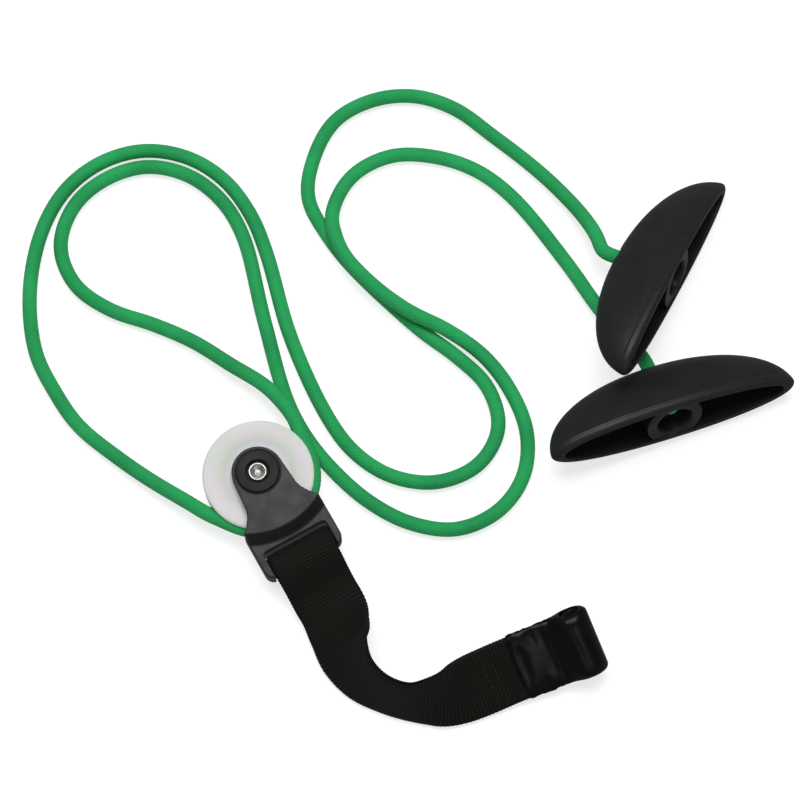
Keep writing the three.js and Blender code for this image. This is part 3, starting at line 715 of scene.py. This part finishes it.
def webbing_material():
    """Black webbing: ribs across it, warp yarns along it and a little fuzz; its colour is
    darker between ribs and yarns and lighter on their tops, which is painted shade.
    """
    material = principled("webbing_weave", (0.012, 0.012, 0.01), 0.75, Sheen_Weight=0.04,
                          Sheen_Roughness=0.4, Specular_IOR_Level=0.12)
    n = Nodes(material)
    u, v = n.uv("weave")
    across = n.math("MULTIPLY", u, TAU / (WEB_PITCH["warp"] * MM))
    along = n.math("MULTIPLY", v, TAU / (WEB_PITCH["rib"] * MM))
    warp = n.math("ABSOLUTE", n.math("SINE", n.math("MULTIPLY", across, 0.5)))
    weft = n.math("MULTIPLY_ADD", n.math("COSINE", along), 0.5, 0.5)
    fuzz = n.noise(4000, 3, 0.7)
    height = n.math("ADD", n.math("MULTIPLY", weft, 0.6), n.math("MULTIPLY", warp, 0.35))
    # Painted shade: the ramp darkens the sunk ground between ribs and yarns and lightens their
    # tops, with random fuzz over it.
    groove_shade_and_fuzz = n.math("ADD", height, n.math("MULTIPLY", fuzz, 0.3))
    n.color(n.ramp(groove_shade_and_fuzz, [
        (0.1, (0.0006, 0.0006, 0.0004)), (0.6, (0.004, 0.0041, 0.003)),
        (1.0, (0.009, 0.0092, 0.007)),
    ]))
    n.bump(n.math("ADD", height, n.math("MULTIPLY", fuzz, 0.3)), 0.0002, 0.7)
    return material


mat_rope = rope_material()
mat_wheel = wheel_material()
mat_fork = moulded("fork_nylon", (0.01, 0.01, 0.0105), (0.015, 0.015, 0.0155), 0.36,
                   Specular_IOR_Level=0.17)
# The bosses' faces, inside their grooves, are less glossy than the rest of the fork.
boss = Nodes(mat_fork)
boss_matt = boss.span(from_axle(boss), 0.22, 0.0, 0.0098, 0.0106)
boss.rough(boss.math("ADD", boss.shader.inputs["Roughness"].links[0].from_socket, boss_matt))
mat_handle = moulded("handle_plastic", (0.0125, 0.0125, 0.0133), (0.016, 0.016, 0.017), 0.34,
                     Specular_IOR_Level=0.14)
mat_tube = moulded("tube_plastic", (0.005, 0.005, 0.005), (0.008, 0.008, 0.008), 0.4,
                   Specular_IOR_Level=0.15)
mat_sleeve = moulded("sleeve_vinyl", (0.0018, 0.0018, 0.0018), (0.0028, 0.0028, 0.0028), 0.3,
                     Specular_IOR_Level=0.15)
mat_steel = metal("rivet_steel", (0.5, 0.49, 0.47), 0.36)
mat_brass = metal("bushing_brass", (0.6, 0.43, 0.18), 0.35)
mat_webbing = webbing_material()
mat_thread = moulded("thread", (0.009, 0.009, 0.0072), (0.014, 0.014, 0.011), 0.8,
                     Specular_IOR_Level=0.1)


def dress(obj, material):
    obj.data.materials.clear()
    obj.data.materials.append(material)


dress(rope, mat_rope)

# ---------------- wheel, axle and fork
# One side of the wheel, from bore to rim. It is rounded as a loop with the middle plane, and
# the rounded corners there and on the lip are dropped.
wheel_side = [
    (WHEEL_BORE, 6.3), (8.6, 6.3), (11.0, 5.3), (17.0, 5.25), (22.0, 5.7), (25.7, 5.8),
    (WHEEL_OUTER, 5.2),
]
lower_loop = [(r, -z) for r, z in wheel_side] + [(WHEEL_OUTER, 0), (WHEEL_BORE, 0)]
lower_half = [
    (r, z) for r, z in rounded(lower_loop, 1.6, 8)
    if z < -0.8 and not (r > WHEEL_OUTER - 0.1 and z > -4.4)
]
lip = math.acos((ROPE_PITCH_RADIUS - WHEEL_OUTER) / GROOVE_RADIUS)
bowl = [
    (ROPE_PITCH_RADIUS - GROOVE_RADIUS * math.cos(a), GROOVE_RADIUS * math.sin(a))
    for a in np.linspace(-lip, lip, 27)
]
groove = [(r, z) for r, z in bowl if abs(z) < GROOVE_RADIUS - 0.02]
upper_half = [(r, -z) for r, z in reversed(lower_half)]
wheel = link("wheel", lathe("wheel", lower_half + groove + upper_half, 160, PULLEY))
dress(wheel, mat_wheel)
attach(wheel, "wheel")
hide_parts("sheave_wheel")


def fork_mesh():
    """The CAD's fork, softened, with a groove pressed in round each boss."""
    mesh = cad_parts["pulley_fork"].data.copy()
    into_pulley = PULLEY.inverted()
    mesh.transform(into_pulley)
    mesh = softened_solid(mesh, "fork", *SOFT_FORK)
    mesh.transform(PULLEY)
    for vertex in mesh.vertices:
        spot = into_pulley @ vertex.co / MM
        if abs(spot.z) > CHEEK_OUTER - 0.6:
            away = (math.hypot(spot.x, spot.y) - BOSS_GROOVE["radius"]) / BOSS_GROOVE["width"]
            spot.z -= math.copysign(BOSS_GROOVE["depth"] * math.exp(-away**2), spot.z)
            vertex.co = PULLEY @ (spot * MM)
    mesh.update()
    return mesh


fork = link("fork", fork_mesh())
dress(fork, mat_fork)
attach(fork, "pulley_block")
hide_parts("pulley_fork")

rivet_outline = rounded([
    (0.05, -11.0), (1.4, -11.0), (1.8, -11.5), (3.6, -11.5), (4.1, -11.0), (4.1, -10.3),
    (3.0, -10.3), (3.0, 10.0), (4.45, 10.0), (4.45, 10.8), (4.1, 11.2), (3.55, 11.2),
    (3.2, 10.7), (2.7, 9.8), (1.2, 8.9), (0.7, 9.2), (0.05, 9.3),
], 0.35, 4)
rivet = link("rivet", lathe("rivet", rivet_outline, 72, PULLEY))
dress(rivet, mat_steel)
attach(rivet, "pulley_block")
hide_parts("axle_rivet")
dress(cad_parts["axle_bushing"], mat_brass)


# ---------------- strap
def smoothstep(t):
    t = np.clip(t, 0, 1)
    return t * t * (3 - 2 * t)


def unit(v):
    return v / np.linalg.norm(v)


def strap_line():
    """The strap's middle line with its roll, the same as the CAD's, in layout mm."""
    turn = math.radians(PULLEY_AT[2])
    bar_run = np.array([math.cos(turn), math.sin(turn), 0])
    bar = np.array(local_mm(pulley_point(BAR_X, 0)))
    heading, pitch = math.radians(TUBE_TURN["heading"]), math.radians(TUBE_TURN["pitch"])
    run = np.array([
        math.cos(pitch) * math.cos(heading), math.cos(pitch) * math.sin(heading),
        math.sin(pitch),
    ])
    tube = np.array(TUBE_AT)
    start = [bar + bar_run * ahead for ahead in WEB_LEAD["bar"]]
    start[-1][2] -= WEB_LEAD["dip"]
    half_stack = PLY_OFFSET + WEB_THICKNESS / 2
    middle = []
    for x, y, lift, roll in STRAP_ROUTE:
        a = math.radians(roll)
        middle.append((x, y, lift + WEB_WIDTH / 2 * math.sin(a) + half_stack * math.cos(a)))
    lead = [tube - run * back for back in WEB_LEAD["tube"]]
    points = start + middle + lead + [tube]
    rolls = [0] * len(start) + [row[3] for row in STRAP_ROUTE]
    rolls += [TUBE_TURN["roll"]] * (len(lead) + 1)
    return points, rolls, bar_run, run


def strap_frames():
    """A point, run, width and normal at each step along the strap's middle line."""
    points, rolls, first_run, last_run = strap_line()
    line = catmull(points, SPAN_FRAMES)
    tangents = np.gradient(line, axis=0)
    tangents[0], tangents[-1] = first_run, last_run
    index = np.arange(len(line)) / SPAN_FRAMES
    low = np.minimum(index.astype(int), len(rolls) - 2)
    blend = smoothstep(index - low)
    rolls = np.array(rolls, float)
    roll = np.radians(rolls[low] + (rolls[low + 1] - rolls[low]) * blend)
    roll = softened(np.stack([roll] * 3, 1), 8)[:, 0]
    frames = []
    for point, tangent, angle in zip(line, tangents, roll):
        run = unit(tangent)
        side = unit(np.cross([0, 0, 1], run))
        up = np.cross(run, side)
        width = side * math.cos(angle) + up * math.sin(angle)
        frames.append((point, run, width, unit(np.cross(run, width))))
    return frames


def strap_stations(frames):
    """The web's own path: along the top, round the tube, back below and round the bar."""
    bar_wrap = BAR_RADIUS + GAP + WEB_THICKNESS / 2
    tube_wrap = TUBE["outer"] + GAP + WEB_THICKNESS / 2
    travelled = distances(np.array([f[0] for f in frames]))
    total = travelled[-1]

    def spread(distance, radius, closing):
        ease = 1 - smoothstep(distance / closing)
        return PLY_OFFSET + (radius - PLY_OFFSET) * ease

    def ply(sign):
        stations = []
        for (point, _, width, normal), s in zip(frames, travelled):
            at_bar = spread(s, bar_wrap, WEB_CLOSING["bar"])
            at_tube = spread(total - s, tube_wrap, WEB_CLOSING["tube"])
            off = at_bar + at_tube - PLY_OFFSET
            stations.append((point + normal * sign * off, width, normal * sign))
        return stations

    def wrap(strap_frame, radius, away, steps=20):
        point, run, width, normal = strap_frame
        result = []
        for i in range(1, steps):
            a = math.pi * i / steps
            outward = normal * math.cos(a) + run * away * math.sin(a)
            result.append((point + outward * radius, width, outward))
        return result

    back = ply(-1)[::-1]
    round_tube = wrap(frames[-1], tube_wrap, 1)
    round_bar = wrap(frames[0], bar_wrap, -1)[::-1]
    return back[SEAM_FRAMES:] + round_bar + ply(1) + round_tube + back[: SEAM_FRAMES - 1]


def webbing_mesh(name, stations, step=0.4):
    """The ribbed web along its stations, with UVs in metres across and along it."""
    centre = np.array([s[0] for s in stations])
    travelled = distances(centre)
    count = int(travelled[-1] / step)
    at = np.linspace(0, travelled[-1], count)

    def sampled(k):
        values = np.array([s[k] for s in stations])
        return np.stack([np.interp(at, travelled, values[:, c]) for c in range(3)], 1)

    centre, width, normal = sampled(0), sampled(1), sampled(2)
    width /= np.linalg.norm(width, axis=1)[:, None]
    normal /= np.linalg.norm(normal, axis=1)[:, None]
    rib = 0.5 + 0.5 * np.cos(TAU * at / WEB_PITCH["rib"])
    across = np.linspace(-1, 1, 21)
    from_tube = np.linalg.norm(centre - np.array(TUBE_AT), axis=1)
    gather = 1 - smoothstep((from_tube - WEB_GATHER["near"]) / WEB_GATHER["over"])
    half_w, half_t = WEB_WIDTH / 2, WEB_THICKNESS / 2
    edge = 1 - np.clip((np.abs(across) - 0.93) / 0.07, 0, 1) ** 2 * 0.35
    (edge_sink, edge_rib), (face_sink, face_rib) = WEB_RIB["edge"], WEB_RIB["face"]
    rings = []
    for i in range(count):
        reach = half_w - edge_sink + edge_rib * rib[i] - WEB_GATHER["by"] * gather[i]
        face = half_t * edge - face_sink + face_rib * rib[i] * (np.abs(across) < 0.97)
        top = centre[i] + np.outer(across * reach, width[i]) + np.outer(face, normal[i])
        low = centre[i] + np.outer(across * reach, width[i]) - np.outer(face, normal[i])
        rings.append(np.vstack([low, top[::-1]]))
    columns = 2 * len(across)
    points = np.vstack(rings + [centre[:1], centre[-1:]])  # with the two ends' hubs
    mesh = mesh_from(name, in_metres(points), capped_faces(count, columns))
    uv = mesh.uv_layers.new(name="weave")
    x = np.r_[across, across[::-1]] * half_w * MM
    values = np.zeros((len(mesh.loops), 2), np.float32)
    vertices = np.zeros(len(mesh.loops), np.int32)
    mesh.loops.foreach_get("vertex_index", vertices)
    inside = vertices < count * columns
    values[inside, 0] = x[vertices[inside] % columns]
    values[inside, 1] = at[vertices[inside] // columns] * MM
    uv.data.foreach_set("uv", values.ravel())
    fix_normals(mesh, merge=False)
    return mesh


frames = strap_frames()
webbing = link("webbing", webbing_mesh("webbing", strap_stations(frames)))
dress(webbing, mat_webbing)
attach(webbing, "strap")
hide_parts("strap_webbing")


def frame_matrix(strap_frame):
    """X along the run, Y across the web and Z off its face, at one frame of the strap."""
    point, run, width, normal = strap_frame
    x, y, z = place(*point)
    return Matrix((
        (run[0], width[0], normal[0], x), (run[1], width[1], normal[1], y),
        (run[2], width[2], normal[2], z), (0, 0, 0, 1),
    ))


ACROSS_WEB = Matrix.Rotation(math.pi / 2, 4, "X")  # a lathe's axis laid across the web
ANCHOR = frame_matrix(frames[-1])


def stitch_row_mesh(name, matrix):
    """Short stitches in a line across the web, sunk into its top face."""
    half, radius = STITCHES["half"], STITCHES["radius"]
    height = PLY_OFFSET + WEB_THICKNESS / 2 + 0.02
    outline = [(0.01, -half), (radius, -half + 0.3), (radius, half - 0.3), (0.01, half)]
    bm = bmesh.new()
    for k in range(STITCHES["count"]):
        across = (k - (STITCHES["count"] - 1) / 2) * STITCHES["pitch"]
        lean = Matrix.Rotation(math.radians(6 * math.sin(5 * k)), 4, "Z")
        at = Matrix.Translation((0, across * MM, height * MM)) @ lean @ ACROSS_WEB
        stitch = lathe(name, rounded(outline, 0.25, 3), 14, matrix @ at, closed=False)
        bm.from_mesh(stitch)
        bpy.data.meshes.remove(stitch)
    mesh = bpy.data.meshes.new(name)
    bm.to_mesh(mesh)
    bm.free()
    return mesh


for row, back in STITCH_ROWS:
    matrix = frame_matrix(frames[-1 - back])
    stitches = link("stitch_row_" + row, stitch_row_mesh("stitch_row_" + row, matrix))
    dress(stitches, mat_thread)
    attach(stitches, "strap")
    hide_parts("strap_stitch_row_" + row)


# ---------------- sleeve and tube
def sleeve_half(x):
    """Half the sleeve's thickness at x: round over the tube, then closing to its mouth."""
    from_middle = x - SLEEVE_MIDDLE
    if from_middle > SLEEVE_CLOSING["from"]:
        return math.sqrt(max(SLEEVE_RADIUS**2 - from_middle**2, 0.0))
    close = smoothstep((SLEEVE_CLOSING["from"] - from_middle) / SLEEVE_CLOSING["over"])
    from_lip = (x - SLEEVE_START - SLEEVE_LIP["back"]) / SLEEVE_LIP["width"]
    lip = SLEEVE_LIP["height"] * math.exp(-(from_lip**2))
    return SLEEVE_RADIUS * (1 - close) + SLEEVE_MOUTH * close + lip


def sleeve_section(x, half, width, around=88):
    """A rounded slot outline across the web, at x along the run."""
    corner = min(half, 2.0)
    ring = []
    for j in range(around):
        a = TAU * (j + 0.5) / around
        cx = signed_power(math.cos(a), 0.28) * (width - corner)
        cy = signed_power(math.sin(a), 0.5) * max(half - corner, 0.0)
        ring.append((x, cx + corner * math.cos(a), cy + corner * math.sin(a)))
    return np.array(ring)


def wrinkle(point, flat):
    """Move a point of the skin by swells, by folds on the flat and at the puckered edges."""
    x, y, z = point
    side = 1 if z > 0 else -1
    swell = noise.noise(Vector((x / SWELL["along"], y / SWELL["across"], side * 3.0)))
    fold = noise.noise(Vector((x / FOLD["along"], y / FOLD["across"], side * 9.0)))
    pucker = noise.noise(Vector((x / PUCKER["along"], side * 2.0, y / PUCKER["across"])))
    lift = swell * (SWELL["all"] + SWELL["flat"] * flat) + FOLD["flat"] * flat * fold
    edge = smoothstep((abs(y) - PUCKER["edge"]) / PUCKER["over"])
    draw = (PUCKER["flat"] * flat + PUCKER["all"]) * edge * pucker
    point[1] += math.copysign(draw, y)
    point[2] += side * lift


def sleeve_mesh(matrix):
    """The shrunk vinyl sleeve: snug on the tube, puckered on the flat of the web."""
    rings = [
        sleeve_section(SLEEVE_START + ahead, SLEEVE_MOUTH - inset, SLEEVE_WIDTH - inset)
        for ahead, inset in SLEEVE_LINING
    ]
    along = list(np.linspace(SLEEVE_START + 0.15, SLEEVE_MIDDLE - 1.0, 54))
    quarter = [math.sin(math.pi / 2 * k / 16) for k in range(1, 16)] + [0.9997]
    along += [SLEEVE_MIDDLE + SLEEVE_RADIUS * share for share in quarter]
    for x in along:
        end = math.sqrt(max(1 - (max(x - SLEEVE_MIDDLE, 0) / SLEEVE_RADIUS) ** 4, 0.0))
        ring = sleeve_section(x, sleeve_half(x), SLEEVE_WIDTH - SLEEVE_TAPER * (1 - end))
        flat = smoothstep((-x - FLAT_OF_WEB["from"]) / FLAT_OF_WEB["over"])
        flat *= smoothstep((x - SLEEVE_START) / FLAT_OF_WEB["mouth"])
        for point in ring:
            wrinkle(point, flat)
        rings.append(ring)
    mesh = closed_loft("sleeve", rings, len(rings[0]))
    radius, half = SLEEVE_HOLE["radius"], SLEEVE_HOLE["half"]
    hole_outline = rounded([(0.001, -half), (radius, -half), (radius, half), (0.001, half)],
                           0.2, 2)
    hole_at = Matrix.Translation((SLEEVE_MIDDLE / 2 * MM, 0, 0))
    hole = lathe("hole", hole_outline, 64, hole_at @ ACROSS_WEB)
    mesh = softened_solid(boolean(mesh, hole, "DIFFERENCE"), "sleeve", *SOFT_SLEEVE)
    mesh.transform(matrix)
    return mesh


sleeve = link("sleeve", sleeve_mesh(ANCHOR))
dress(sleeve, mat_sleeve)
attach(sleeve, "strap")
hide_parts("anchor_sleeve")

inner, outer, half = TUBE["inner"], TUBE["outer"], TUBE["half"]
tube_outline = rounded([(inner, -half), (outer, -half), (outer, half), (inner, half)], 0.6, 4)
tube = link("tube", lathe("tube", tube_outline, 64, ANCHOR @ ACROSS_WEB))
sharp_by_angle(tube, 50)
dress(tube, mat_tube)
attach(tube, "strap")
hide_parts("anchor_tube")


# ---------------- handles
def blunt_ring(size, z, around):
    """A ring of the handle's blunt half ellipsoid at height z."""
    rise = min(z / size["c"], 1.0)
    power = HANDLE["power"]
    along, across = (1 - rise**power) ** (1 / power), math.sqrt(max(0.0, 1 - rise**2))
    ring = []
    for j in range(around):
        a = TAU * j / around
        x, y = (signed_power(f(a), 2 / power) for f in (math.cos, math.sin))
        ring.append((size["a"] * along * x, size["b"] * across * y, z))
    return np.array(ring)


def shell_mesh(name, around=144, rows=30):
    """The hollow shell, ring by ring: down its outside, over its rim and up its inside."""
    rings = []
    low, top = RIM["round_z"], HANDLE["c"] - 0.01
    above = low + 2.8
    levels = [
        above + (top - above) * math.sin(math.pi / 2 * i / rows) for i in range(rows, 0, -1)
    ]
    for z in levels + list(np.linspace(above, low, 15)):
        from_bead = (z - low - BEAD["above"]) / BEAD["width"]
        bead = BEAD["height"] * math.exp(-(from_bead**2))
        size = {"a": HANDLE["a"], "b": HANDLE["b"] + bead, "c": HANDLE["c"]}
        rings.append(blunt_ring(size, z, around))
    outer, inner = blunt_ring(HANDLE, low, around), blunt_ring(CAVITY, 0.0, around)

    def rim_ring(share, z):
        """A ring a share of the way from the outer wall to the inner one."""
        ring = outer * (1 - share) + inner * share
        ring[:, 2] = z
        return ring

    for i in range(1, 9):
        a = math.pi / 2 * i / 8
        rings.append(rim_ring(RIM["round_k"] * (1 - math.cos(a)), low * (1 - math.sin(a))))
    for i in range(5):
        a = math.pi / 2 * i / 4
        share = RIM["lip_k"] + (1 - RIM["lip_k"]) * math.sin(a)
        rings.append(rim_ring(share, RIM["lip_z"] * (1 - math.cos(a))))
    lip, deep = RIM["lip_z"], CAVITY["c"] - 0.01
    for i in range(1, rows + 1):
        z = lip + (deep - lip) * math.sin(math.pi / 2 * i / rows)
        rings.append(blunt_ring(CAVITY, z, around))
    return closed_loft(name, rings, around)


def filled_shell(name, inset, around=144, rows=26):
    """The shell's outer shape as a solid, smaller by inset."""
    size = {key: HANDLE[key] - inset for key in "abc"}
    rings = [
        blunt_ring(size, size["c"] * math.sin(math.pi / 2 * i / rows) * 0.9995, around)
        for i in range(rows, -1, -1)
    ]
    return closed_loft(name, rings, around)


def boss_mesh(name, around=96):
    """The block that carries the rope, flared where it meets the side walls."""
    rings = []
    levels = [(0.7, 0.96), (0.8, 0.985), (1.05, 1.0), (1.6, 1.0), (32.6, 1.0)]
    for z, scale in levels:
        ring = []
        for j in range(around):
            a = TAU * j / around
            x, y = math.cos(a), math.sin(a)
            reach = BOSS["x"] * scale * (1 + BOSS["flare"] * abs(y) ** 6)
            ring.append((reach * signed_power(x, 0.8), BOSS["y"] * y, z))
        rings.append(np.array(ring))
    return closed_loft(name, rings, around)


def handle_local():
    """One handle about its own axes: long side X, width Y, crown +Z, rim at z = 0."""
    boss = boolean(boss_mesh("boss"), filled_shell("cut", BOSS["inset"]), "INTERSECT")
    body = boolean(shell_mesh("handle"), boss, "UNION")
    bore = [
        (0.0, -3.0), (9.9, -3.0), (9.9, 0.6), (9.3, 0.85), (8.85, 1.35), (8.6, 2.1),
        (8.6, 23.4), (8.1, 24.0), (4.9, 24.0), (4.4, 24.5), (4.3, 25.0), (4.3, 31.0),
        (4.5, 31.8), (5.2, 32.6), (6.5, 33.4), (6.5, 37.0), (0.0, 37.0),
    ]
    cutter = lathe("bore", [(max(r, 0.001), z) for r, z in bore], 72)
    return boolean(body, cutter, "DIFFERENCE")


def knot_line():
    """The rope's line through a tight overhand knot about the crown's axis, in mm."""
    t = np.linspace(-KNOT["overlap"], TAU + KNOT["overlap"], 160)
    x, y = np.sin(t) + 2 * np.sin(2 * t), np.cos(t) - 2 * np.cos(2 * t)
    z = KNOT["middle"] - KNOT["swing"] * np.sin(3 * t)
    return np.stack([KNOT["scale"] * x, KNOT["scale"] * y, z], 1)


def tail_line():
    """The short end of the rope that stands out of the knot towards the rim."""
    return catmull([(1.5, 1.0, 13.0), (0.6, -1.8, 10.0), (0, -3.4, 7.2), (0, -3.7, 4.2)], 12)


handle_mesh = handle_local()
for which in ("upper", "lower"):
    matrix = handle_matrix(which)
    mesh = handle_mesh.copy()
    mesh.transform(matrix)
    handle = link(which + "_grip", mesh)
    sharp_by_angle(handle, 40)
    dress(handle, mat_handle)
    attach(handle, "handle_" + which)
    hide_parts(which + "_handle")
    ends = (("knot", knot_line(), KNOT["radius"]), ("tail", tail_line(), TAIL_RADIUS))
    for part, line, radius in ends:
        points = np.array([local_mm(matrix @ Vector(p)) for p in line * MM])
        mesh, _ = rope_mesh(which + "_" + part, points, 40, 0.5, 0.18, radius)
        end = link(which + "_" + part, mesh)
        dress(end, mat_rope)
        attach(end, "pulley_block")
        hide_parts(which + "_rope_" + part)

# ---------------- floor and light
half = FLOOR["half"]
corners = [(-half, -half, 0), (half, -half, 0), (half, half, 0), (-half, half, 0)]
floor = link("floor", mesh_from("floor", corners, [(0, 1, 2, 3)]), smooth=False)
floor.location.z = -FLOOR["below"]
floor.visible_glossy = False
floor_material = principled(
    "floor_paper", (0.42, 0.42, 0.42), 0.9, Specular_IOR_Level=0.1,
    Emission_Color=(1, 1, 1, 1), Emission_Strength=0.7,
)
dress(floor, floor_material)

# A white wall all round, seen behind the part from the side, that lights nothing.
turns = [TAU * j / WALL["sides"] for j in range(WALL["sides"])]
wall_points = [
    (WALL["radius"] * math.cos(a), WALL["radius"] * math.sin(a), z)
    for z in (WALL["bottom"], WALL["top"]) for a in turns
]
wall = link("wall", mesh_from("wall", wall_points, grid_faces(2, WALL["sides"])))
wall_material = principled(
    "wall_paper", (0, 0, 0), 1.0, Specular_IOR_Level=0.0, Emission_Color=(1, 1, 1, 1),
    Emission_Strength=0.8,
)
dress(wall, wall_material)
wall.visible_diffuse = wall.visible_glossy = wall.visible_shadow = False
wall.visible_transmission = False

world = bpy.data.worlds.new("studio")
world.use_nodes = True
background = world.node_tree.nodes["Background"]
background.inputs["Color"].default_value = (1, 1, 1, 1)
background.inputs["Strength"].default_value = 0.22
scene.world = world


def area_light(name, location, target, size, power):
    light = bpy.data.lights.new(name, "AREA")
    light.shape = "RECTANGLE"
    light.size, light.size_y = size
    light.energy = power
    obj = bpy.data.objects.new(name, light)
    obj.location = location
    obj.rotation_euler = (Vector(target) - Vector(location)).to_track_quat("-Z", "Y").to_euler()
    scene.collection.objects.link(obj)


area_light("overhead", (-0.1, 0.5, 1.55), (-0.04, 0.02, 0), (1.15, 0.95), 24)
area_light("front", (0.45, -0.95, 1.0), (0.03, -0.06, 0), (0.5, 0.6), 1.8)
